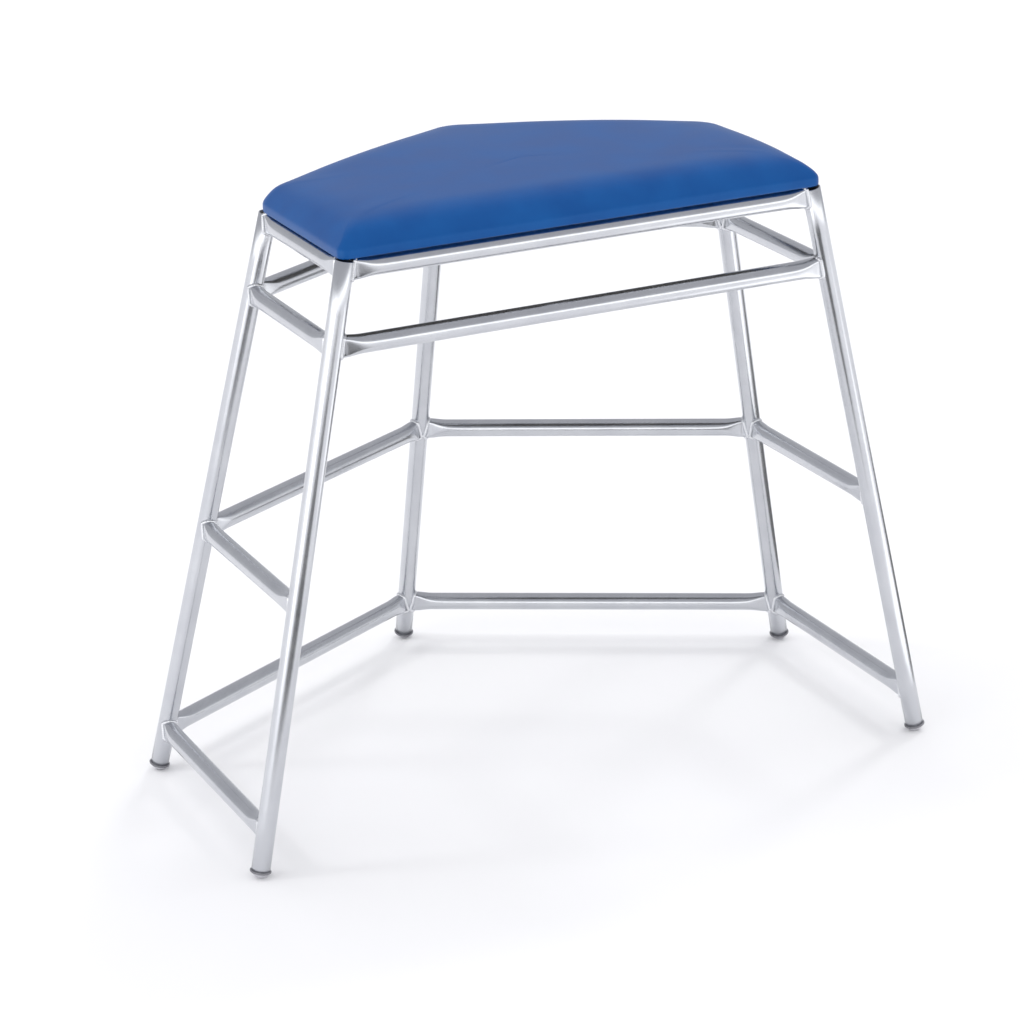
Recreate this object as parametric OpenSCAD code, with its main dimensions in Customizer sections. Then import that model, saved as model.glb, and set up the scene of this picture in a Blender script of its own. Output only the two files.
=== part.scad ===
// Padded agility table: five splayed tube legs, rings of welded rails, upholstered top.
// Millimetres, +Z up, X along the open front, the front towards -Y, floor at z = 0.

/* [Frame] */
// distance between the two front leg axes on the floor
front_width_floor = 1054; // [900:2:1200]
// run of each short side on the floor, from a front leg to a side leg
side_run_floor = 422; // [360:2:480]
// slope of the two back sides away from the front's direction, in degrees
back_angle = 30; // [24:1:36]
// distance between the two front leg axes at the upper rail
front_width_upper = 753; // [640:1:840]
// height of the upper rail's axis
upper_rail_z = 745; // [720:1:765]
// height of the middle rail's axis
middle_rail_z = 387; // [300:1:450]
// height of the lower rail's axis
lower_rail_z = 67; // [60:1:110]

/* [Tube] */
// outside diameter of every tube
tube_d = 26.9; // [25:0.1:30]
// wall of every tube
tube_wall = 2; // [1.5:0.1:2.6]
// width of a rail's end, pressed narrow so that it meets the leg inside the leg's own width
pinch_w = 18.6; // [17:0.1:21]
// length of a rail's narrow end, from the leg's axis
pinch_len = 20; // [18:1:26]
// length over which the narrow end turns round again
pinch_run = 46; // [36:1:60]
// gap between a top rail and the pad, which the lugs and the pressed ends bridge
top_gap = 2.4; // [1:0.1:4]

/* [Pad] */
// overall height of the table
total_h = 915; // [905:1:930]
// height of the pad's underside
pad_base_z = 866; // [862:1:872]
// how far the pad stands out past the leg axes
pad_over = 12; // [8:1:20]
// corner radius at the two front legs
corner_front = 14; // [10:1:30]
// corner radius at the two side legs
corner_side = 40; // [25:1:60]
// corner radius at the back leg
corner_back = 60; // [40:1:80]
// thickness of the plywood board
board_t = 12; // [9:1:15]
// thickness of the cover
cover_t = 1.2; // [1:0.1:1.5]
// how far the cover is turned in under the board
cover_turn = 26; // [20:1:32]

/* [Feet] */
// diameter of the dark ring at a tube's foot
ring_d = 31; // [29:0.5:34]
// thickness of the dark ring
ring_t = 3; // [2:0.5:4]
// radius of the domed glide
dome_r = 14; // [13.5:0.5:15]

/* [Hidden] */
// the leg places in order round the table, and the side that arrives at each of them
PLACES = ["front_left", "side_left", "back", "side_right", "front_right"];
SIDES = ["front", "left", "back_left", "back_right", "right"];
// each ring of rails, its height, and its first side: the lower two leave the front open
RINGS = [
  ["top", pad_base_z - top_gap - tube_d / 2, 0],
  ["upper", upper_rail_z, 0],
  ["middle", middle_rail_z, 1],
  ["lower", lower_rail_z, 1]
];
$fn = 96;

half_floor = front_width_floor / 2;
depth_floor = side_run_floor + half_floor * tan(back_angle);
taper = (1 - front_width_upper / front_width_floor) / upper_rail_z;
top_rail_z = RINGS[0][1];
tube_r = tube_d / 2;
bore_r = tube_r - tube_wall;
leg_top_z = pad_base_z - 0.4;
dome_s = dome_r - 0.8;
ring_s = dome_s - 5.4;
leg_s = ring_s + ring_t;
// the pad's flat top starts this far inside its outline
crown_in = 22;
pinch_in = tube_r - pinch_w / 2;
scoop_r = (pow(pinch_run, 2) + pow(pinch_in, 2)) / (2 * pinch_in);
cap_t = 10;
stem_l = 28;
lug_l = 44;
lug_w = 34;
lug_t = 4;
lug_in = 30;
lug_z = pad_base_z - top_rail_z - lug_t;
screw_d = 6;
screw_l = lug_t + cover_t + board_t - 3;
head_d = 11;
head_t = 3.2;
steel = [0.78, 0.79, 0.81];
// the back foot's ring reaches this far behind its axis, and the front ones half their width
lean_back = atan(depth_floor * taper);
reach_back = ring_d / 2 * cos(lean_back) - ring_s * sin(lean_back);
mid_y = (depth_floor + reach_back - ring_d / 2) / 2;

// the legs in order round the table: front left, side left, back, side right, front right
function floor_xy(i) =
  i == 0 ? [-half_floor, 0] :
  i == 1 ? [-half_floor, side_run_floor] :
  i == 2 ? [0, depth_floor] :
  i == 3 ? [half_floor, side_run_floor] : [half_floor, 0];
function shrink(z) = 1 - taper * z;
function at(i, z) = [floor_xy(i).x * shrink(z), floor_xy(i).y * shrink(z) - mid_y, z];
function lean_of(i) = atan(norm(floor_xy(i)) * taper);
function head_of(i) = atan2(-floor_xy(i).y, -floor_xy(i).x);

// stands children along a leg's axis, starting at the floor
module on_leg(i) translate(at(i, 0)) rotate([0, lean_of(i), head_of(i)]) children();

module leg_solid(i) on_leg(i) cylinder(r = tube_r, h = 1100);

// how far along its axis a leg ends, square to the axis, just under the pad
function leg_end(i) = (leg_top_z - tube_r * sin(lean_of(i))) / cos(lean_of(i));

module leg(i) {
  color(steel)
  on_leg(i) difference() {
    translate([0, 0, leg_s]) cylinder(r = tube_r, h = leg_end(i) - leg_s);
    cylinder(r = bore_r, h = 1100);
  }
}

module cap(i) {
  color([0.3, 0.3, 0.32])
  on_leg(i) translate([0, 0, leg_end(i) - cap_t]) cylinder(r = bore_r, h = cap_t);
}

module foot(i) {
  color([0.74, 0.74, 0.76])
  intersection() {
    on_leg(i) union() {
      translate([0, 0, ring_s]) cylinder(r = bore_r, h = stem_l);
      intersection() {
        translate([0, 0, dome_s]) sphere(r = dome_r);
        translate([0, 0, -20]) cylinder(r = dome_r - 1.6, h = 20 + ring_s);
      }
    }
    translate([-1000, -1000, 0]) cube([2000, 2000, 100]);
  }
}

module foot_ring(i) {
  color([0.24, 0.24, 0.26])
  on_leg(i) translate([0, 0, ring_s]) difference() {
    cylinder(r = ring_d / 2, h = ring_t);
    translate([0, 0, -1]) cylinder(r = bore_r, h = ring_t + 2);
  }
}

// side i runs from the leg before leg i to leg i
function before(i) = (i + 4) % 5;
function rail_len(i, z) = norm(at(i, z) - at(before(i), z));

// places children at a side's start, with X along it
module on_side(i, z) {
  p = at(before(i), z);
  q = at(i, z);
  translate(p) rotate([0, 0, atan2(q.y - p.y, q.x - p.x)]) children();
}

// what the press takes off one side of a rail's end: flat along the end, then a long scoop
module press(skin) {
  translate([0, pinch_w / 2 - skin, -tube_d]) linear_extrude(2 * tube_d) {
    translate([-tube_d, 0]) square([tube_d + pinch_len, tube_d]);
    intersection() {
      translate([pinch_len, 0]) square([pinch_run + tube_d, tube_d]);
      translate([pinch_len, scoop_r]) circle(r = scoop_r, $fn = 180);
    }
  }
}

// a rail's outside, or its bore at one wall's skin, longer than the rail by lead at each end
module rail_form(len, skin, lead) {
  difference() {
    translate([-lead, 0, 0]) rotate([0, 90, 0]) cylinder(r = tube_r - skin, h = len + 2 * lead);
    for (end = [0, 1])
      for (face = [0, 1])
        translate([end * len, 0, 0]) mirror([end, 0, 0]) mirror([0, face, 0]) press(skin);
  }
}

module rail(i, z) {
  len = rail_len(i, z);
  color(steel)
  difference() {
    on_side(i, z) difference() {
      rail_form(len, 0, 0);
      rail_form(len, tube_wall, 3);
    }
    leg_solid(before(i));
    leg_solid(i);
  }
}

// places children at the middle of a top rail
module on_lug(i) {
  on_side(i, top_rail_z) translate([rail_len(i, top_rail_z) / 2, 0, 0]) children();
}

// a lug welded to a top rail and reaching inwards, which is to the right along every side
module lug(i) {
  color(steel)
  on_lug(i) difference() {
    translate([-lug_w / 2, -lug_l, lug_z]) cube([lug_w, lug_l, lug_t]);
    translate([-lug_w, 0, 0]) rotate([0, 90, 0]) cylinder(r = tube_r, h = 2 * lug_w);
    translate([0, -lug_in, 0]) cylinder(d = screw_d + 0.6, h = 40);
  }
}

// the screws that hold the board down on the lugs, each with a hexagon socket
module pad_screws() {
  color([0.62, 0.62, 0.64])
  for (i = [0 : 4])
    on_lug(i) translate([0, -lug_in, lug_z]) {
      difference() {
        translate([0, 0, -head_t]) cylinder(d = head_d, h = head_t);
        translate([0, 0, -head_t - 1]) cylinder(d = 4.6, h = 3, $fn = 6);
      }
      cylinder(d = screw_d, h = screw_l);
    }
}

// pad outline at the top rails' height: leg axes moved outwards by over, then rounded
function outline_r(i) = i == 2 ? corner_back : (i == 1 || i == 3) ? corner_side : corner_front;
function side_dir(i) = (at(i, 0) - at(before(i), 0)) / norm(at(i, 0) - at(before(i), 0));

// centre of the corner circle at leg i, for an outline standing over past the axes
function corner_xy(i, over) =
  let (
    u = side_dir(i),
    v = side_dir((i + 1) % 5),
    across = [-u.y - v.y, u.x + v.x],
    away = across / norm(across),
    reach = (over - outline_r(i)) / (away * [-v.y, v.x]),
    leg = at(i, pad_base_z)
  )
  [leg.x + away.x * reach, leg.y + away.y * reach];

// a thin round slice at one corner of an outline standing over past the axes
module corner_slice(i, over, z, inset, h = 0.3) {
  c = corner_xy(i, over);
  translate([c.x, c.y, z]) cylinder(r = max(outline_r(i) - inset, 0.4), h = h, $fn = 32);
}

// the pad's rounded form, drawn in by skin on every side: it swells from base_z and rounds over
module pad_form(skin, base_z) {
  top = total_h - skin;
  hull()
    for (i = [0 : 4]) {
      corner_slice(i, pad_over, base_z, skin + 2.5);
      corner_slice(i, pad_over, base_z + 4, skin);
      corner_slice(i, pad_over, base_z + 14, skin);
      corner_slice(i, pad_over, top - 16.3, skin + 3.5);
      corner_slice(i, pad_over, top - 8.3, skin + 8.5);
      corner_slice(i, pad_over, top - 3.3, skin + 13.3);
      corner_slice(i, pad_over - crown_in, top - 0.3, skin);
    }
}

module pad_cover() {
  color([0.1, 0.27, 0.55])
  difference() {
    pad_form(0, pad_base_z);
    pad_form(cover_t, pad_base_z + cover_t);
    pad_window();
  }
}

// the opening left under the board by the turned-in cover
module pad_window() {
  hull()
    for (i = [0 : 4])
      corner_slice(i, pad_over - cover_turn, pad_base_z - 1, 0, cover_t + 2);
}

module pad_board() {
  color([0.72, 0.58, 0.4])
  difference() {
    intersection() {
      pad_form(cover_t, pad_base_z + cover_t);
      translate([-1000, -1000, pad_base_z + cover_t]) cube([2000, 2000, board_t]);
    }
    for (i = [0 : 4])
      on_lug(i) translate([0, -lug_in, 0]) cylinder(d = screw_d, h = lug_z + screw_l);
  }
}

module pad_foam() {
  color([0.85, 0.82, 0.7])
  intersection() {
    pad_form(cover_t, pad_base_z + cover_t);
    translate([-1000, -1000, pad_base_z + cover_t + board_t]) cube([2000, 2000, 100]);
  }
}

for (i = [0 : 4]) {
  leg(i);
  foot(i);
  foot_ring(i);
  cap(i);
  lug(i);
}
for (ring = RINGS)
  for (i = [ring[2] : 4])
    rail(i, ring[1]);
pad_screws();
pad_board();
pad_foam();
pad_cover();
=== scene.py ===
import math
import random

import bmesh
import bpy
from mathutils import Matrix, Vector, noise


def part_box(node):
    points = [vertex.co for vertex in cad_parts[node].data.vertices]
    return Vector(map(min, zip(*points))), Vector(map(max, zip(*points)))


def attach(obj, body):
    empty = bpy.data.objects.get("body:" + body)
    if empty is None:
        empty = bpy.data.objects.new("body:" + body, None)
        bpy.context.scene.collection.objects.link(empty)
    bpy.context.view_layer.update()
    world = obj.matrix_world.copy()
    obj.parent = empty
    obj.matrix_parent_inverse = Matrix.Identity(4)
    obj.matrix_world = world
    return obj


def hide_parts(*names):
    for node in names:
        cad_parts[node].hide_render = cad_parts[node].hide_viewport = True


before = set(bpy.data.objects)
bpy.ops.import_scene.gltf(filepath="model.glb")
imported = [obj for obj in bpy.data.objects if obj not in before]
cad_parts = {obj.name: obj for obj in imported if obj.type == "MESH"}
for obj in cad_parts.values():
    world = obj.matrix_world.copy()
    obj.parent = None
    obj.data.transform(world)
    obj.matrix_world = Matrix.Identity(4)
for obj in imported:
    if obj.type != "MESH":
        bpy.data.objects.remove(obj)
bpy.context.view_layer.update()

# ---------------------------------------------------------------- sizes, in metres

MM = 0.001
FRONT_WIDTH_FLOOR = 1.054
SIDE_RUN_FLOOR = 0.422
BACK_ANGLE = math.radians(30)
UP = Vector((0, 0, 1))
FRONT_WIDTH_UPPER = 0.753
UPPER_RAIL_Z = 0.745
MIDDLE_RAIL_Z = 0.387
LOWER_RAIL_Z = 0.067

TUBE_R = 13.45 * MM
BORE_R = 11.45 * MM
PAD_BASE_Z = 0.866
PAD_TOP_Z = 0.915
PAD_OVER = 12 * MM
# between a top rail and the pad, since a rail's pressed ends stand a little taller than its tube
PAD_GAP = 2.4 * MM
TOP_RAIL_Z = PAD_BASE_Z - PAD_GAP - TUBE_R

PLACES = ("front_left", "side_left", "back", "side_right", "front_right")
SIDES = ("front", "left", "back_left", "back_right", "right")
# each ring of rails, its height, and its first side: the lower two leave the front open
RINGS = (
    ("top", TOP_RAIL_Z, 0),
    ("upper", UPPER_RAIL_Z, 0),
    ("middle", MIDDLE_RAIL_Z, 1),
    ("lower", LOWER_RAIL_Z, 1),
)

HALF_FLOOR = FRONT_WIDTH_FLOOR / 2
DEPTH_FLOOR = SIDE_RUN_FLOOR + HALF_FLOOR * math.tan(BACK_ANGLE)
TAPER = (1 - FRONT_WIDTH_UPPER / FRONT_WIDTH_FLOOR) / UPPER_RAIL_Z
# the front legs lean sideways only, so the middle of their box is the front plane
FRONT_Y = sum(corner.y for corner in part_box("leg_front_left")) / 2


def floor_xy(leg):
    """A leg axis's place on the floor, measured from the middle of the front."""
    return (
        (-HALF_FLOOR, 0),
        (-HALF_FLOOR, SIDE_RUN_FLOOR),
        (0, DEPTH_FLOOR),
        (HALF_FLOOR, SIDE_RUN_FLOOR),
        (HALF_FLOOR, 0),
    )[leg]


def axis_at(leg, z):
    """The point of a leg's axis at height z: every leg leans to one point above the front."""
    x, y = floor_xy(leg)
    shrink = 1 - TAPER * z
    return Vector((x * shrink, y * shrink + FRONT_Y, z))


def leg_direction(leg):
    """The way a leg's axis points, upwards."""
    return (axis_at(leg, 1) - axis_at(leg, 0)).normalized()


def leg_place(leg):
    """Stands Z along a leg's axis, with its zero at the floor."""
    turn = leg_direction(leg).to_track_quat("Z", "Y").to_matrix().to_4x4()
    return Matrix.Translation(axis_at(leg, 0)) @ turn


# ---------------------------------------------------------------- mesh helpers


def piece(name, vertices, faces, material):
    """A named mesh that rides with the frame, shaded smooth with crisp edges kept."""
    mesh = bpy.data.meshes.new(name)
    mesh.from_pydata([tuple(v) for v in vertices], [], faces)
    mesh.validate()
    mesh.shade_smooth()
    obj = bpy.data.objects.new(name, mesh)
    bpy.context.scene.collection.objects.link(obj)
    mesh.materials.append(material)
    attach(obj, "root")
    return obj


def ring_faces(rings, count, closed_loop=False):
    """Quads between neighbouring rings of count points, and back to the first if closed_loop."""
    faces = []
    for a in range(rings if closed_loop else rings - 1):
        b = (a + 1) % rings
        for k in range(count):
            n = (k + 1) % count
            faces.append((a * count + k, a * count + n, b * count + n, b * count + k))
    return faces


def end_faces(rings, count):
    """The two flat ends of a stack of rings."""
    last = (rings - 1) * count
    return [tuple(range(count - 1, -1, -1)), tuple(range(last, last + count))]


def turned(profile, place, steps=64, closed_loop=True):
    """Points and faces of a profile of (radius, height) pairs turned about place's Z axis."""
    points = []
    for radius, height in profile:
        for k in range(steps):
            angle = math.tau * k / steps
            local = Vector((radius * math.cos(angle), radius * math.sin(angle), height))
            points.append(place @ local)
    faces = ring_faces(len(profile), steps, closed_loop)
    if not closed_loop:
        faces += end_faces(len(profile), steps)
    return points, faces


def quarter_round(centre, start, radius, steps=4):
    """Points of a quarter turn about a centre, from a first angle in degrees."""
    angles = [math.radians(start + 90 * k / steps) for k in range(steps + 1)]
    return [(centre[0] + radius * math.cos(a), centre[1] + radius * math.sin(a)) for a in angles]


def smooth_step(t):
    """0 to 1 with a soft start and end."""
    t = min(max(t, 0), 1)
    return t * t * (3 - 2 * t)


# ---------------------------------------------------------------- materials


def linear(hex_colour):
    """An sRGB hex colour as the linear RGBA that a shader takes."""
    parts = [int(hex_colour[k : k + 2], 16) / 255 for k in (1, 3, 5)]
    low = [c / 12.92 if c <= 0.04045 else ((c + 0.055) / 1.055) ** 2.4 for c in parts]
    return (*low, 1.0)


def new_material(name):
    """A material with an empty node tree."""
    material = bpy.data.materials.new(name)
    material.use_nodes = True
    material.node_tree.nodes.clear()
    return material


def add(owner, kind, inputs=None, output=0, stops=None, **settings):
    """Adds a node and gives back one of its outputs. Each input is a value or another node's
    output, stops are a ramp's places and colours, and settings are the node's own."""
    node = owner.node_tree.nodes.new(kind)
    for key, value in settings.items():
        setattr(node, key, value)
    for key, value in (inputs or {}).items():
        if isinstance(value, bpy.types.NodeSocket):
            owner.node_tree.links.new(value, node.inputs[key])
        else:
            node.inputs[key].default_value = value
    if stops:
        elements = node.color_ramp.elements
        while len(elements) < len(stops):
            elements.new(0.5)
        for element, (place, colour) in zip(elements, stops):
            element.position = place
            element.color = colour
    return node.outputs[output] if node.outputs else None


def grain(material, size_mm, detail=2.0, stretch=(1, 1, 1)):
    """A pattern of soft blotches about size_mm across."""
    place = add(material, "ShaderNodeTexCoord", output="Object")
    spread = add(material, "ShaderNodeMapping", {"Vector": place, "Scale": stretch})
    settings = {"Vector": spread, "Scale": 1 / (size_mm * MM), "Detail": detail}
    return add(material, "ShaderNodeTexNoise", settings)


def finish_material(material, **inputs):
    """Puts a Principled shader with these inputs on the material's output."""
    named = {key.replace("_", " "): value for key, value in inputs.items()}
    shader = add(material, "ShaderNodeBsdfPrincipled", named)
    add(material, "ShaderNodeOutputMaterial", {"Surface": shader})
    return material


# The finest patterns in the finishes below, from 0.4 to 0.9 mm, stand for lacquer flakes, zinc
# crystals and mould texture that are finer still, and are drawn coarser so that they show.


def silver_lacquered_steel():
    """Steel tube under silver lacquer: a bright satin metal with soft-edged reflections."""
    m = new_material("silver_lacquered_steel")
    blotch = grain(m, 45, 3)
    fleck = grain(m, 0.9, 2)
    orange_peel = grain(m, 3.5, 2)
    stops = [(0.3, linear("#C8CACF")), (0.7, linear("#D0D2D6"))]
    colour = add(m, "ShaderNodeValToRGB", {"Fac": blotch}, stops=stops)
    rough = add(m, "ShaderNodeMapRange", {"Value": blotch, "To Min": 0.2, "To Max": 0.27})
    fine = add(m, "ShaderNodeBump", {"Height": fleck, "Distance": 0.006 * MM, "Strength": 0.2})
    coarse = {"Height": orange_peel, "Distance": 0.02 * MM, "Strength": 0.2, "Normal": fine}
    normal = add(m, "ShaderNodeBump", coarse)
    return finish_material(m, Base_Color=colour, Metallic=1.0, Roughness=rough, Normal=normal)


def weld_silver():
    """Lacquer over a weld bead: the same silver, lightened with a painted highlight, and rougher in
    the ripples.
    """
    m = new_material("weld_silver")
    fleck = grain(m, 0.8, 3)
    # the lighter silver here is a painted highlight for the bright weld beads
    stops = [(0.3, linear("#D4D6DA")), (0.7, linear("#EEEFF2"))]
    colour = add(m, "ShaderNodeValToRGB", {"Fac": fleck}, stops=stops)
    normal = add(m, "ShaderNodeBump", {"Height": fleck, "Distance": 0.08 * MM, "Strength": 0.5})
    return finish_material(m, Base_Color=colour, Metallic=1.0, Roughness=0.32, Normal=normal)


def blue_vinyl():
    """Coated upholstery vinyl: saturated blue with a soft sheen and a fine pebbled grain."""
    m = new_material("blue_vinyl")
    place = add(m, "ShaderNodeTexCoord", output="Object")
    # pebbles of the embossed grain, drawn a little coarser than the real half millimetre
    pebbles = {"Vector": place, "Scale": 1 / (0.9 * MM)}
    pebble = add(m, "ShaderNodeTexVoronoi", pebbles, feature="SMOOTH_F1")
    tone = grain(m, 60, 3)
    slack = grain(m, 9, 2)
    stops = [(0.3, linear("#08488D")), (0.7, linear("#0B5096"))]
    colour = add(m, "ShaderNodeValToRGB", {"Fac": tone}, stops=stops)
    rough = add(m, "ShaderNodeMapRange", {"Value": tone, "To Min": 0.36, "To Max": 0.44})
    soft = add(m, "ShaderNodeBump", {"Height": slack, "Distance": 0.25 * MM, "Strength": 0.15})
    embossed = {"Height": pebble, "Distance": 0.12 * MM, "Strength": 0.25, "Normal": soft}
    normal = add(m, "ShaderNodeBump", embossed)
    return finish_material(
        m,
        Base_Color=colour,
        Roughness=rough,
        Specular_IOR_Level=0.4,
        Specular_Tint=linear("#ADDDFF"),
        Normal=normal,
    )


def moulded_glide():
    """Moulded polythene: a soft waxy grey with faint flow marks, made paler with painted light from
    the bright floor below.
    """
    m = new_material("moulded_glide")
    flow = grain(m, 6, 3)
    texture = grain(m, 0.8, 2)
    # the pale grey is partly the plastic's own and partly painted light from the floor below the dome
    stops = [(0.3, linear("#BDBDC2")), (0.7, linear("#CDCDD1"))]
    colour = add(m, "ShaderNodeValToRGB", {"Fac": flow}, stops=stops)
    normal = add(m, "ShaderNodeBump", {"Height": texture, "Distance": 0.03 * MM, "Strength": 0.4})
    return finish_material(m, Base_Color=colour, Roughness=0.45, IOR=1.51, Normal=normal)


def ring_grey_painted_shade():
    """The glide's moulded ring: a matt grey darkened with painted shade for its shadowed flange, and
    dusty where it is rubbed.
    """
    m = new_material("ring_grey_painted_shade")
    dust = grain(m, 4, 4)
    texture = grain(m, 0.6, 2)
    # the ring's darker grey is painted shade: the flange sits in shadow above the pale dome
    stops = [(0.35, linear("#75757A")), (0.7, linear("#8C8C91"))]
    colour = add(m, "ShaderNodeValToRGB", {"Fac": dust}, stops=stops)
    normal = add(m, "ShaderNodeBump", {"Height": texture, "Distance": 0.05 * MM, "Strength": 0.5})
    return finish_material(m, Base_Color=colour, Roughness=0.7, IOR=1.5, Normal=normal)


def birch_plywood():
    """Film-faced birch plywood: dark and sealed, the veneer grain just showing through."""
    m = new_material("birch_plywood")
    figure = grain(m, 14, 5, (0.08, 1, 1))
    pore = grain(m, 1.2, 2, (0.06, 1, 1))
    stops = [(0.25, linear("#34322F")), (0.5, linear("#3F3D3A")), (0.8, linear("#4C4945"))]
    colour = add(m, "ShaderNodeValToRGB", {"Fac": figure}, stops=stops)
    normal = add(m, "ShaderNodeBump", {"Height": pore, "Distance": 0.1 * MM, "Strength": 0.4})
    return finish_material(m, Base_Color=colour, Roughness=0.62, IOR=1.5, Normal=normal)


def black_nylon():
    """Moulded black nylon, as in tube plugs: deep grey with a fine spark texture."""
    m = new_material("black_nylon")
    tone = grain(m, 5, 2)
    spark = grain(m, 0.5, 2)
    stops = [(0.3, linear("#1B1B1D")), (0.7, linear("#27272A"))]
    colour = add(m, "ShaderNodeValToRGB", {"Fac": tone}, stops=stops)
    normal = add(m, "ShaderNodeBump", {"Height": spark, "Distance": 0.03 * MM, "Strength": 0.5})
    return finish_material(m, Base_Color=colour, Roughness=0.5, IOR=1.53, Normal=normal)


def bright_zinc():
    """Bright zinc plate on screws and staples: cool and shiny with a faint cloud."""
    m = new_material("bright_zinc")
    cloud = grain(m, 3, 3)
    crystal = grain(m, 0.4, 2)
    stops = [(0.3, linear("#B9BCC0")), (0.7, linear("#D0D2D4"))]
    colour = add(m, "ShaderNodeValToRGB", {"Fac": cloud}, stops=stops)
    normal = add(m, "ShaderNodeBump", {"Height": crystal, "Distance": 0.01 * MM, "Strength": 0.3})
    return finish_material(m, Base_Color=colour, Metallic=1.0, Roughness=0.3, Normal=normal)


def cream_foam():
    """Cut polyether foam: cream and open celled."""
    m = new_material("cream_foam")
    cell = grain(m, 1.5, 3)
    stops = [(0.3, linear("#D8CC9E")), (0.7, linear("#EBE2BC"))]
    colour = add(m, "ShaderNodeValToRGB", {"Fac": cell}, stops=stops)
    normal = add(m, "ShaderNodeBump", {"Height": cell, "Distance": 0.6 * MM, "Strength": 0.6})
    return finish_material(m, Base_Color=colour, Roughness=0.9, IOR=1.5, Normal=normal)


def white_floor():
    """A plain pale studio floor."""
    m = new_material("white_floor")
    stops = [(0.3, linear("#F6F6F8")), (0.7, linear("#F9F9FA"))]
    colour = add(m, "ShaderNodeValToRGB", {"Fac": grain(m, 900, 2)}, stops=stops)
    return finish_material(m, Base_Color=colour, Roughness=0.9)


SILVER = silver_lacquered_steel()
WELD = weld_silver()
VINYL = blue_vinyl()
GLIDE = moulded_glide()
RING_PAINTED_SHADE = ring_grey_painted_shade()
PLYWOOD = birch_plywood()
NYLON = black_nylon()
ZINC = bright_zinc()
FOAM = cream_foam()

# ---------------------------------------------------------------- legs and feet

DOME_R = 14 * MM
# how far the dome is worn flat where it stands
DOME_FLAT = 0.8 * MM
DOME_S = DOME_R - DOME_FLAT
# along a leg's axis: where the ring starts, and how thick it is
RING_S = DOME_S - 5.4 * MM
RING_T = 3 * MM
RING_R = 15.2 * MM
RING_ROUND = 1.2 * MM
DOME_STEPS = 14
DOME_NECK_R = DOME_R - 1.6 * MM
STEM_LENGTH = 28 * MM
STEM_CHAMFER = 1 * MM
# the small hole left at a turned piece's axis, so that its ends close neatly
AXIS_R = 0.2 * MM
TUBE_EDGE = 0.5 * MM
LEG_STEPS = 12
LEG_TOP_Z = PAD_BASE_Z - 0.4 * MM


def leg_end(leg):
    """How far along its axis a leg ends, square to the axis."""
    lean = leg_direction(leg).angle(UP)
    return (LEG_TOP_Z - TUBE_R * math.sin(lean)) / math.cos(lean)


def build_leg(leg):
    """A hollow leg tube with its cut edges rubbed round."""
    low, high, edge = RING_S + RING_T, leg_end(leg), TUBE_EDGE
    profile = [
        (BORE_R, low + edge),
        (BORE_R + edge, low),
        (TUBE_R - edge, low),
        (TUBE_R, low + edge),
        *[(TUBE_R, low + (high - low) * k / LEG_STEPS) for k in range(1, LEG_STEPS)],
        (TUBE_R, high - edge),
        (TUBE_R - edge, high),
        (BORE_R + edge, high),
        (BORE_R, high - edge),
    ]
    points, faces = turned(profile, leg_place(leg))
    tube = piece(f"leg_tube_{PLACES[leg]}", points, faces, SILVER)
    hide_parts(f"leg_{PLACES[leg]}")


def build_foot(leg):
    """The domed glide, flattened where it stands, and the grey ring above it."""
    profile = [(AXIS_R, -DOME_FLAT)]
    neck_angle = math.degrees(math.asin(DOME_NECK_R / DOME_R))
    for k in range(1, DOME_STEPS + 1):
        angle = math.radians(neck_angle * k / DOME_STEPS)
        profile.append((DOME_R * math.sin(angle), DOME_S - DOME_R * math.cos(angle)))
    stem_end = RING_S + STEM_LENGTH
    profile.append((DOME_NECK_R, RING_S - 0.1 * MM))
    profile.append((BORE_R, RING_S))
    profile.append((BORE_R, stem_end - STEM_CHAMFER))
    profile.append((BORE_R - STEM_CHAMFER, stem_end))
    profile.append((AXIS_R, stem_end))
    points, faces = turned(profile, leg_place(leg), closed_loop=False)
    for point in points:
        point.z = max(point.z, 0)
    dome = piece(f"glide_{PLACES[leg]}", points, faces, GLIDE)
    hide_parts(f"foot_{PLACES[leg]}")

    inside, outside = BORE_R + 0.1 * MM, RING_R - RING_ROUND
    profile = [(inside, RING_S)]
    profile += quarter_round((outside, RING_S + RING_ROUND), -90, RING_ROUND)
    profile += quarter_round((outside, RING_S + RING_T - RING_ROUND), 0, RING_ROUND)
    profile.append((inside, RING_S + RING_T))
    points, faces = turned(profile, leg_place(leg))
    # the ring's grey is darkened with painted shade for the shadowed flange
    band = piece(f"glide_ring_{PLACES[leg]}", points, faces, RING_PAINTED_SHADE)
    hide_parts(f"foot_ring_{PLACES[leg]}")


for leg in range(5):
    build_leg(leg)
    build_foot(leg)

# ---------------------------------------------------------------- rails and welds

# a rail's pressed end: its half width, how much taller it is than the tube, how far it keeps
# that width past the leg, and how long the scoop is that opens out from there
PRESS_HALF_W = 8.6 * MM
PRESS_GROW = 0.16
PRESS_LEN = 3 * MM
SCOOP_RUN = 70 * MM
SCOOP_OPEN = 1.35 * TUBE_R
SCOOP_STEPS = 16
# past this half width the scoop no longer touches the round tube
SCOOP_CLEAR = 1.3 * TUBE_R
RAIL_STEPS = 72
# how far a rail's end is sunk into the leg, so that the weld has no gap behind it
END_SUNK = 0.3 * MM
# how crisp the edge is where the scoop meets the round tube
EDGE_CRISP = 14


def flat_half_width(x):
    """Half the width that the press leaves, x along the rail from the leg's axis."""
    run = min(max(x - PRESS_LEN - TUBE_R, 0) / SCOOP_RUN, 1)
    return PRESS_HALF_W + (SCOOP_OPEN - PRESS_HALF_W) * (1 - (1 - run) ** 1.5)


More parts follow.
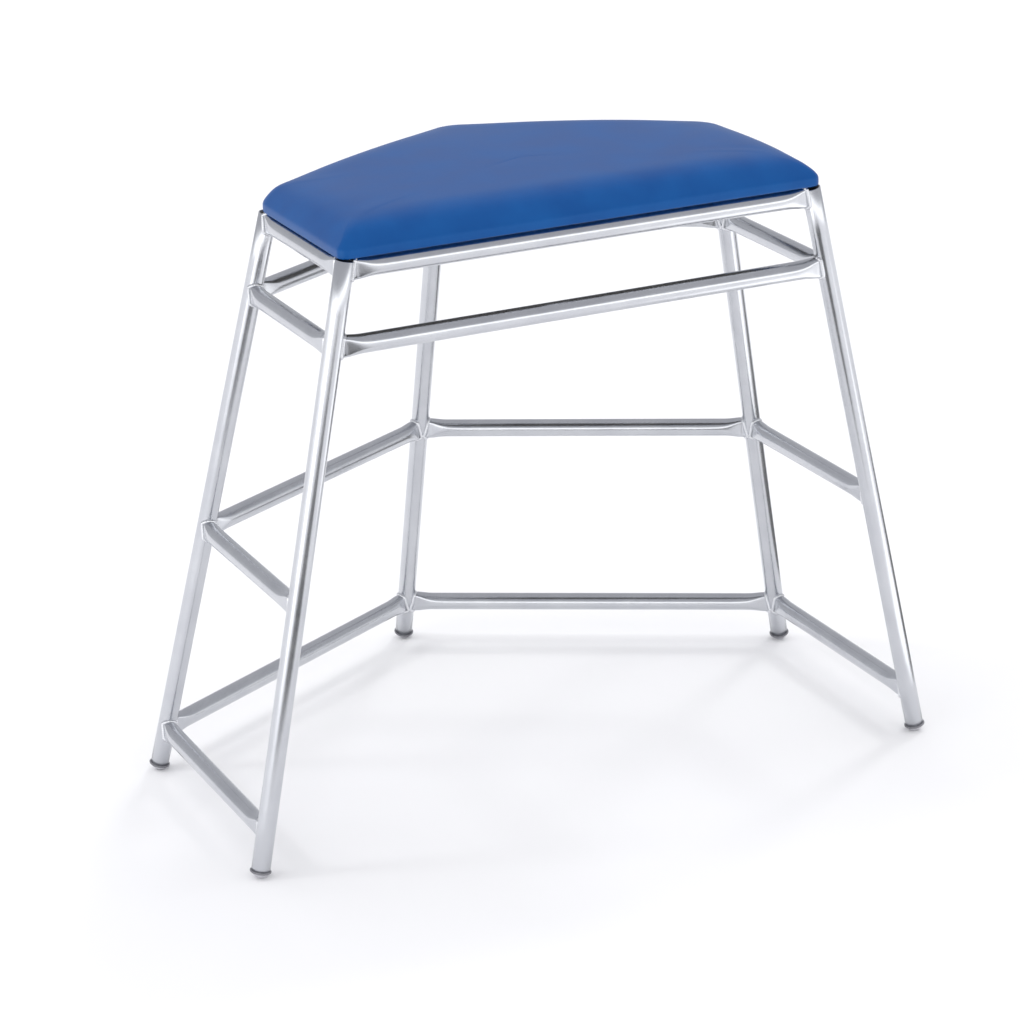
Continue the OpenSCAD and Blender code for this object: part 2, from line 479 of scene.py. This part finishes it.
def section_point(angle, x):
    """A point of a rail's section: round, with its sides pressed flat near a leg."""
    limit = flat_half_width(x)
    press = smooth_step(1 - (limit - PRESS_HALF_W) / (TUBE_R - PRESS_HALF_W))
    c, s = math.cos(angle), math.sin(angle)
    width = abs(TUBE_R * c)
    if limit < SCOOP_CLEAR:
        width /= (1 + (width / limit) ** EDGE_CRISP) ** (1 / EDGE_CRISP)
    return math.copysign(width, c), TUBE_R * s * (1 + PRESS_GROW * press)


def rail_frame(side, z):
    """A rail's start, its direction, the way across it, and its length between leg axes."""
    start, end = axis_at((side - 1) % 5, z), axis_at(side, z)
    along = (end - start).normalized()
    across = UP.cross(along)
    return start, along, across, (end - start).length


def reach_to_leg(leg, point, along):
    """How far from point, back along a rail, the leg's surface lies."""
    axis = leg_direction(leg)
    out = point - axis_at(leg, 0)
    a = along - axis * along.dot(axis)
    b = out - axis * out.dot(axis)
    qa, qb, qc = a.dot(a), 2 * a.dot(b), b.dot(b) - TUBE_R**2
    return (-qb + math.sqrt(max(qb * qb - 4 * qa * qc, 0))) / (2 * qa)


def rail_stations(length):
    """Distances along a rail where its section is drawn, close together at the scoops."""
    near = [0, TUBE_R + PRESS_LEN]
    near += [TUBE_R + PRESS_LEN + SCOOP_RUN * k / SCOOP_STEPS for k in range(1, SCOOP_STEPS + 1)]
    return near + [length * k / 6 for k in range(2, 5)] + [length - x for x in reversed(near)]


def build_rail(ring, side, z):
    """A rail tube, pressed narrow at both ends and cut to fit round each leg."""
    start, along, across, length = rail_frame(side, z)
    legs = ((side - 1) % 5, side)
    points = []
    stations = rail_stations(length)
    for number, x in enumerate(stations):
        for k in range(RAIL_STEPS):
            y, height = section_point(math.tau * k / RAIL_STEPS, min(x, length - x))
            flat = start + across * y + UP * height
            if number == 0:
                x_here = reach_to_leg(legs[0], flat, along) - END_SUNK
            elif number == len(stations) - 1:
                x_here = END_SUNK - reach_to_leg(legs[1], flat, -along)
            else:
                x_here = x
            points.append(flat + along * x_here)
    faces = ring_faces(len(stations), RAIL_STEPS) + end_faces(len(stations), RAIL_STEPS)
    tube = piece(f"rail_tube_{ring}_{SIDES[side]}", points, faces, SILVER)
    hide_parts(f"rail_{ring}_{SIDES[side]}")


BEAD_R = 2.7 * MM
BEAD_STEPS = 132
BEAD_SIDES = 8
RIPPLES = 30
# how much a bead's radius changes with each ripple, and unevenly along it
RIPPLE_SHARE = 0.1
UNEVEN_SHARE = 0.16
UNEVEN_PER_METRE = 90


def bead(leg, base, along, across):
    """Points of one rippled weld bead round a pressed rail end, on the leg's surface."""
    path = []
    for k in range(BEAD_STEPS):
        y, height = section_point(math.tau * k / BEAD_STEPS, 0)
        flat = base + across * y + UP * height
        path.append(flat + along * reach_to_leg(leg, flat, along))
    points = []
    for k, centre in enumerate(path):
        tangent = (path[(k + 1) % BEAD_STEPS] - path[k - 1]).normalized()
        out = tangent.cross(along).normalized()
        lift = out.cross(tangent)
        phase = math.tau * RIPPLES * k / BEAD_STEPS
        uneven = noise.noise(centre * UNEVEN_PER_METRE)
        radius = BEAD_R * (1 + RIPPLE_SHARE * math.sin(phase) + UNEVEN_SHARE * uneven)
        for j in range(BEAD_SIDES):
            angle = math.tau * j / BEAD_SIDES
            points.append(centre + (out * math.cos(angle) + lift * math.sin(angle)) * radius)
    return points


def build_welds(ring, side, z):
    """The two weld beads of one rail, as one piece."""
    start, along, across, length = rail_frame(side, z)
    points = bead((side - 1) % 5, start, along, across)
    points += bead(side, start + along * length, -along, across)
    loop = [tuple(reversed(f)) for f in ring_faces(BEAD_STEPS, BEAD_SIDES, True)]
    shift = BEAD_STEPS * BEAD_SIDES
    faces = loop + [tuple(v + shift for v in f) for f in loop]
    piece(f"weld_beads_{ring}_{SIDES[side]}", points, faces, WELD)


for ring, height, first_side in RINGS:
    for side in range(first_side, 5):
        build_rail(ring, side, height)
        build_welds(ring, side, height)

# ---------------------------------------------------------------- padded top

CORNER_R = (13 * MM, 40 * MM, 60 * MM, 40 * MM, 13 * MM)
# the least corner radius, which then grows as the outline is drawn in: a soft mitre
CREASE_R = (4 * MM, 14 * MM, 30 * MM, 30 * MM, 6 * MM)
# how far the cover is pulled down over each corner
CORNER_PULL = (3 * MM, 5 * MM, 6 * MM, 5 * MM, 6 * MM)
PULL_REACH = (80 * MM, 90 * MM, 120 * MM, 90 * MM, 60 * MM)
ARC_STEPS = 8
SIDE_STEPS = (34, 15, 20, 20, 15)

# the cover's section: upright past the board's edge, then the foam's soft slope to a flat
# top, as (drawn in, height) in millimetres
EDGE_ROLL = (
    (2.2, 0.0),
    (0.8, 0.8),
    (0.1, 2.4),
    (0.0, 5.0),
    (0.0, 8.5),
    (0.1, 11.5),
    (0.9, 14.2),
    (2.6, 17.2),
    (5.2, 21.0),
    (8.6, 25.4),
    (12.6, 30.0),
    (17.0, 34.3),
    (22.0, 38.0),
    (28.0, 41.0),
    (35.0, 43.2),
    (43.0, 44.7),
    (53.0, 45.7),
    (65.0, 46.2),
)
TOP_SHARES = (0.9, 0.8, 0.7, 0.6, 0.5, 0.4, 0.3, 0.2, 0.1, 0.03)
# the crown in the middle of the top, over its edge
CROWN = 0.8 * MM
TURN_IN = 26 * MM
# how far in each loop of the hem lies under the board, in millimetres
HEM = (TURN_IN / MM, TURN_IN / MM - 0.8, 18, 9, 4.5)
COVER_T = 1.2 * MM
BOARD_T = 12 * MM
# the first loops of EDGE_ROLL, which the board holds still
HELD_ROLL = 5
# the most that the simulation may raise the cover
SWELL_CAP = 1.6 * MM
SWELL_STEPS = 20
# the foam fills the cover but for this much at the sides and the top
FOAM_INSET = COVER_T + 0.5 * MM
FOAM_DROP = 2 * MM


def pad_side(leg):
    """Direction of the side that arrives at a leg."""
    return (axis_at(leg, 0) - axis_at((leg - 1) % 5, 0)).normalized()


def pad_outline(drawn_in):
    """The pad's outline drawn in by a distance: an arc at each leg, and stepped straight sides."""
    arcs = []
    for leg in range(5):
        u, v = pad_side(leg), pad_side((leg + 1) % 5)
        first, second = Vector((-u.y, u.x, 0)), Vector((-v.y, v.x, 0))
        away = (first + second).normalized()
        radius = max(CORNER_R[leg] - drawn_in, CREASE_R[leg] + 0.25 * drawn_in)
        reach = (PAD_OVER - drawn_in - radius) / away.dot(second)
        centre = axis_at(leg, PAD_BASE_Z) + away * reach
        turn = first.angle(second)
        arc = []
        for k in range(ARC_STEPS + 1):
            spin = Matrix.Rotation(-turn * k / ARC_STEPS, 3, "Z")
            arc.append(centre + spin @ first * radius)
        arcs.append(arc)
    outline = []
    for leg in range(5):
        outline += arcs[leg]
        a, b = arcs[leg][-1], arcs[(leg + 1) % 5][0]
        steps = SIDE_STEPS[(leg + 1) % 5]
        outline += [a.lerp(b, k / steps) for k in range(1, steps)]
    return [Vector((p.x, p.y, 0)) for p in outline]


def lifted(point, height):
    """A point of the pad's plan at a height over the pad's base, pulled down near the corners."""
    pull = 0
    for leg in range(5):
        corner = axis_at(leg, PAD_BASE_Z)
        away = math.hypot(point.x - corner.x, point.y - corner.y) / PULL_REACH[leg]
        pull = max(pull, CORNER_PULL[leg] * math.exp(-away * away))
    share = max(height - BOARD_T, 0) / (PAD_TOP_Z - PAD_BASE_Z - BOARD_T)
    return Vector((point.x, point.y, PAD_BASE_Z + height - pull * share))


def pad_loops(section, inset=0, drop=0):
    """Loops of a section carried round the pad, and on over the top to its middle."""
    loops = []
    for drawn_in, height in section:
        outline = pad_outline(drawn_in * MM + inset)
        loops.append([lifted(p, height * MM - drop) for p in outline])
    inner = pad_outline(section[-1][0] * MM + inset)
    middle = sum(inner, Vector()) / len(inner)
    for share in TOP_SHARES:
        height = section[-1][1] * MM - drop + CROWN * (1 - share)
        loops.append([lifted(middle.lerp(p, share), height) for p in inner])
    return loops


def loop_mesh(loops):
    """Points and outward faces of a closed stack of loops."""
    points = [p for loop in loops for p in loop]
    faces = ring_faces(len(loops), len(loops[0])) + end_faces(len(loops), len(loops[0]))
    return points, [tuple(reversed(f)) for f in faces]


def swell(cover, held):
    """Blows the closed cover up like fabric under pressure; its first `held` points stay put."""
    group = cover.vertex_groups.new(name="held")
    group.add(list(range(held)), 1.0, "REPLACE")
    cloth = cover.modifiers.new("cloth", "CLOTH")
    settings = cloth.settings
    settings.quality = 3
    settings.mass = 0.4
    settings.tension_stiffness = 30
    settings.compression_stiffness = 30
    settings.shear_stiffness = 10
    settings.bending_stiffness = 0.5
    settings.use_pressure = True
    settings.uniform_pressure_force = 1
    settings.vertex_group_mass = "held"
    settings.effector_weights.gravity = 0
    cloth.collision_settings.use_collision = False
    cloth.point_cache.frame_start = 1
    cloth.point_cache.frame_end = SWELL_STEPS
    for step in range(1, SWELL_STEPS + 1):
        bpy.context.scene.frame_set(step)
    blown = cover.evaluated_get(bpy.context.evaluated_depsgraph_get()).to_mesh()
    normals = [v.normal.copy() for v in cover.data.vertices]
    pairs = zip(blown.vertices, cover.data.vertices, normals)
    rises = [(after.co - before.co).dot(normal) for after, before, normal in pairs]
    cover.modifiers.remove(cloth)
    cover.vertex_groups.clear()
    bpy.context.scene.frame_set(1)
    # the foam inside keeps the cover from sinking, and limits how far it rises
    rises = [SWELL_CAP * math.tanh(max(rise, 0) / SWELL_CAP) for rise in rises]
    for vertex, normal, rise in zip(cover.data.vertices, normals, evened(cover.data, rises)):
        vertex.co += normal * rise


def evened(mesh, values, rounds=4):
    """Evens out a value at each vertex with its neighbours' values."""
    near = [[] for _ in mesh.vertices]
    for edge in mesh.edges:
        a, b = edge.vertices
        near[a].append(b)
        near[b].append(a)
    for _ in range(rounds):
        values = [
            (value + sum(values[n] for n in ring) / len(ring)) / 2
            for value, ring in zip(values, near)
        ]
    return values


def with_modifiers_applied(obj):
    """Turns an object's modifiers into plain mesh."""
    evaluated = obj.evaluated_get(bpy.context.evaluated_depsgraph_get())
    shaped = bpy.data.meshes.new_from_object(evaluated)
    obj.modifiers.clear()
    obj.data = shaped


def build_cover():
    """The vinyl cover: rolled edge, mitred corners, swollen top, and a hem turned in below."""
    loops = [[lifted(p, 0) for p in pad_outline(drawn_in * MM)] for drawn_in in HEM]
    loops += pad_loops(EDGE_ROLL)
    points, faces = loop_mesh(loops)
    cover = piece("vinyl_cover", points, faces, VINYL)
    swell(cover, (len(HEM) + HELD_ROLL) * len(loops[0]))
    shape = bmesh.new()
    shape.from_mesh(cover.data)
    # the face inside the hem only closed the shape while it swelled
    wide = [f for f in shape.faces if len(f.verts) == len(loops[0])]
    under = [f for f in wide if f.calc_center_median().z < PAD_BASE_Z + BOARD_T]
    bmesh.ops.delete(shape, geom=under, context="FACES_ONLY")
    shape.to_mesh(cover.data)
    shape.free()
    thickness = cover.modifiers.new("thickness", "SOLIDIFY")
    thickness.thickness = COVER_T
    thickness.offset = -1
    smooth = cover.modifiers.new("smooth", "SUBSURF")
    smooth.levels = 1
    smooth.render_levels = 1
    with_modifiers_applied(cover)
    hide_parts("pad_cover")


def build_foam():
    """The foam block on the board, filling the cover."""
    # it starts on the board and follows the cover's roll from where that clears the board
    section = [(COVER_T / MM + 0.3, BOARD_T / MM + 1.3)]
    section += [(drawn_in, height) for drawn_in, height in EDGE_ROLL if height > 15]
    loops = pad_loops(section, FOAM_INSET, FOAM_DROP)
    base = pad_outline(section[0][0] * MM + FOAM_INSET)
    floor = PAD_BASE_Z + COVER_T + BOARD_T + 0.1 * MM
    loops[0] = [Vector((p.x, p.y, floor)) for p in base]
    points, faces = loop_mesh(loops)
    foam = piece("foam_block", points, faces, FOAM)
    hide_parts("pad_foam")


def build_staples():
    """Staples through the hem into the board, a little uneven as a hand gun leaves them."""
    random.seed(7)
    from_hem_edge = 7 * MM
    line = pad_outline(TURN_IN - from_hem_edge)
    points, faces = [], []
    half_crown, wire, half_thick = 5.2 * MM, 0.55 * MM, 0.3 * MM
    gap, travelled = 26 * MM, 0.0
    for k, here in enumerate(line):
        after = line[(k + 1) % len(line)]
        travelled += (after - here).length
        if travelled < gap:
            continue
        travelled = random.uniform(-3, 3) * MM
        along = (after - here).normalized()
        spin = Matrix.Rotation(random.uniform(-0.2, 0.2), 3, "Z")
        along = spin @ along
        across = Vector((-along.y, along.x, 0))
        base = here + Vector((0, 0, PAD_BASE_Z))
        path = [(-half_crown, 0.6 * MM), (-half_crown, -0.35 * MM), (-half_crown * 0.86, -0.6 * MM)]
        path += [(-x, z) for x, z in reversed(path)]
        first = len(points)
        for x, z in path:
            for y, lift in ((-wire, -1), (wire, -1), (wire, 1), (-wire, 1)):
                points.append(base + along * x + across * y + UP * (z + half_thick * lift))
        for f in ring_faces(len(path), 4) + end_faces(len(path), 4):
            faces.append(tuple(v + first for v in f))
    piece("hem_staples", points, faces, ZINC)


build_cover()
build_foam()
build_staples()

# ---------------------------------------------------------------- finishes of the CAD pieces

for name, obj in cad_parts.items():
    if name.startswith("cap_"):
        finish = NYLON
    elif name.startswith("lug_"):
        finish = SILVER
    elif name == "pad_screws":
        finish = ZINC
    elif name == "pad_board":
        finish = PLYWOOD
    else:
        continue
    obj.data.materials.clear()
    obj.data.materials.append(finish)

# ---------------------------------------------------------------- floor, light and camera


def panel(name, centre, size, facing, material):
    """A flat stage rectangle facing a point."""
    half_w, half_h = size[0] / 2, size[1] / 2
    mesh = bpy.data.meshes.new(name)
    signs = ((-1, -1), (1, -1), (1, 1), (-1, 1))
    mesh.from_pydata([(half_w * a, half_h * b, 0) for a, b in signs], [], [(0, 1, 2, 3)])
    obj = bpy.data.objects.new(name, mesh)
    bpy.context.scene.collection.objects.link(obj)
    mesh.materials.append(material)
    obj.location = centre
    obj.rotation_mode = "QUATERNION"
    obj.rotation_quaternion = (Vector(facing) - Vector(centre)).to_track_quat("Z", "Y")
    return obj


def mirrored_only(obj):
    """Keeps a panel out of everything but reflections."""
    obj.visible_camera = False
    obj.visible_diffuse = False
    obj.visible_shadow = False
    obj.visible_transmission = False


def floor_card(name, centre, size, turn, level):
    """A card laid on the floor that only the shiny pieces reflect."""
    x, y = centre
    obj = panel(name, (x, y, 3 * MM), size, (x, y, 1), glowing_card(level))
    obj.rotation_mode = "XYZ"
    obj.rotation_euler = (0, 0, math.radians(turn))
    mirrored_only(obj)


def glowing_card(level):
    """A lit white card, slightly uneven; level is how bright it is beside a white wall."""
    m = new_material("glowing_card")
    stops = [(0.3, linear("#FCFCFD")), (0.7, linear("#FFFFFF"))]
    colour = add(m, "ShaderNodeValToRGB", {"Fac": grain(m, 300, 2)}, stops=stops)
    glow = add(m, "ShaderNodeEmission", {"Color": colour, "Strength": level})
    add(m, "ShaderNodeOutputMaterial", {"Surface": glow})
    return m


def sky_light(name, place, strength):
    """A far soft light that shines from a direction and isn't mirrored in the metal."""
    data = bpy.data.lights.new(name, "SUN")
    data.energy = strength
    data.angle = math.radians(10)
    obj = bpy.data.objects.new(name, data)
    bpy.context.scene.collection.objects.link(obj)
    obj.rotation_mode = "QUATERNION"
    obj.rotation_quaternion = Vector(place).to_track_quat("Z", "Y")
    obj.visible_glossy = False


# the side that the table is seen from
FRONT_WAY = (-0.407, -0.913, 0)
CEILING = linear("#BFC0C5")
BACK_HORIZON = linear("#CED0D4")
# light levels over 1, brighter than a white surface, which no hex colour can say
BAND_LOW = (2.3, 2.3, 2.3, 1)
BAND_HIGH = (2.2, 2.2, 2.2, 1)
TENT = (1.06, 1.06, 1.08, 1)


def build_studio():
    """The world: shiny pieces see a grey ceiling and a bright low band, matt ones a white tent."""
    world = bpy.data.worlds.new("studio")
    bpy.context.scene.world = world
    world.use_nodes = True
    world.node_tree.nodes.clear()
    way = add(world, "ShaderNodeTexCoord", output="Generated")
    height = add(world, "ShaderNodeSeparateXYZ", {"Vector": way}, "Z")
    ways = {0: way, 1: FRONT_WAY}
    ahead = add(world, "ShaderNodeVectorMath", ways, "Value", operation="DOT_PRODUCT")
    front_range = {"Value": ahead, "From Min": -0.35, "From Max": 0.35}
    front = add(world, "ShaderNodeMapRange", front_range)
    stops = [(0.0, BAND_LOW), (0.13, BAND_HIGH), (0.27, CEILING), (1.0, CEILING)]
    band = add(world, "ShaderNodeValToRGB", {"Fac": height}, stops=stops)
    stops = [(0.0, BACK_HORIZON), (0.4, CEILING), (1.0, CEILING)]
    back = add(world, "ShaderNodeValToRGB", {"Fac": height}, stops=stops)
    # a colour mix takes its share in input 0 and its colours in 6 and 7, and gives output 2
    mirrored = add(world, "ShaderNodeMix", {0: front, 6: back, 7: band}, 2, data_type="RGBA")
    shiny = add(world, "ShaderNodeLightPath", output="Is Glossy Ray")
    seen = add(world, "ShaderNodeMix", {0: shiny, 6: TENT, 7: mirrored}, 2, data_type="RGBA")
    shader = add(world, "ShaderNodeBackground", {"Color": seen, "Strength": 1.0})
    add(world, "ShaderNodeOutputWorld", {"Surface": shader})


panel("floor", (0, 0, -0.2 * MM), (60, 60), (0, 0, 1), white_floor())
floor_card("dark_card_front", (-0.75, -2.4), (1.5, 2.7), 0, 0.12)
floor_card("dark_card_right", (1.75, -0.1), (1.9, 0.9), 0, 0.2)
floor_card("bright_card_right", (1.42, -1.38), (2.2, 0.6), -50, 1.9)
mirrored_only(panel("bright_card_left", (-2.7, -1.5, 0.5), (1.5, 1.7), (0, 0, 0.5), glowing_card(2.6)))
sky_light("right_light", (0.75, 0.55, 1.25), 0.31)
sky_light("left_light", (-0.9, 0.35, 1.1), 0.24)
build_studio()
bpy.context.scene.view_settings.view_transform = "Standard"

CAMERA_PLACE = Vector((-2.009, -4.225 + FRONT_Y, 2.148))
CAMERA_YAW = math.radians(24.05)
CAMERA_PITCH = math.radians(19.98)
CAMERA_ROLL = math.radians(-2.07)
CAMERA_LENS = 124.7


def build_camera():
    """Stands the camera, looking down at the table from the front left."""
    data = bpy.data.cameras.new("camera")
    data.lens = CAMERA_LENS
    data.sensor_width = 36
    data.clip_end = 100
    obj = bpy.data.objects.new("camera", data)
    bpy.context.scene.collection.objects.link(obj)
    level = math.cos(CAMERA_PITCH)
    sine, cosine = math.sin(CAMERA_YAW), math.cos(CAMERA_YAW)
    ahead = Vector((sine * level, cosine * level, -math.sin(CAMERA_PITCH)))
    right = Matrix.Rotation(-CAMERA_ROLL, 3, ahead) @ Vector((cosine, -sine, 0))
    turn = Matrix((right, right.cross(ahead), -ahead)).transposed().to_4x4()
    obj.matrix_world = Matrix.Translation(CAMERA_PLACE) @ turn
    bpy.context.scene.camera = obj


build_camera()
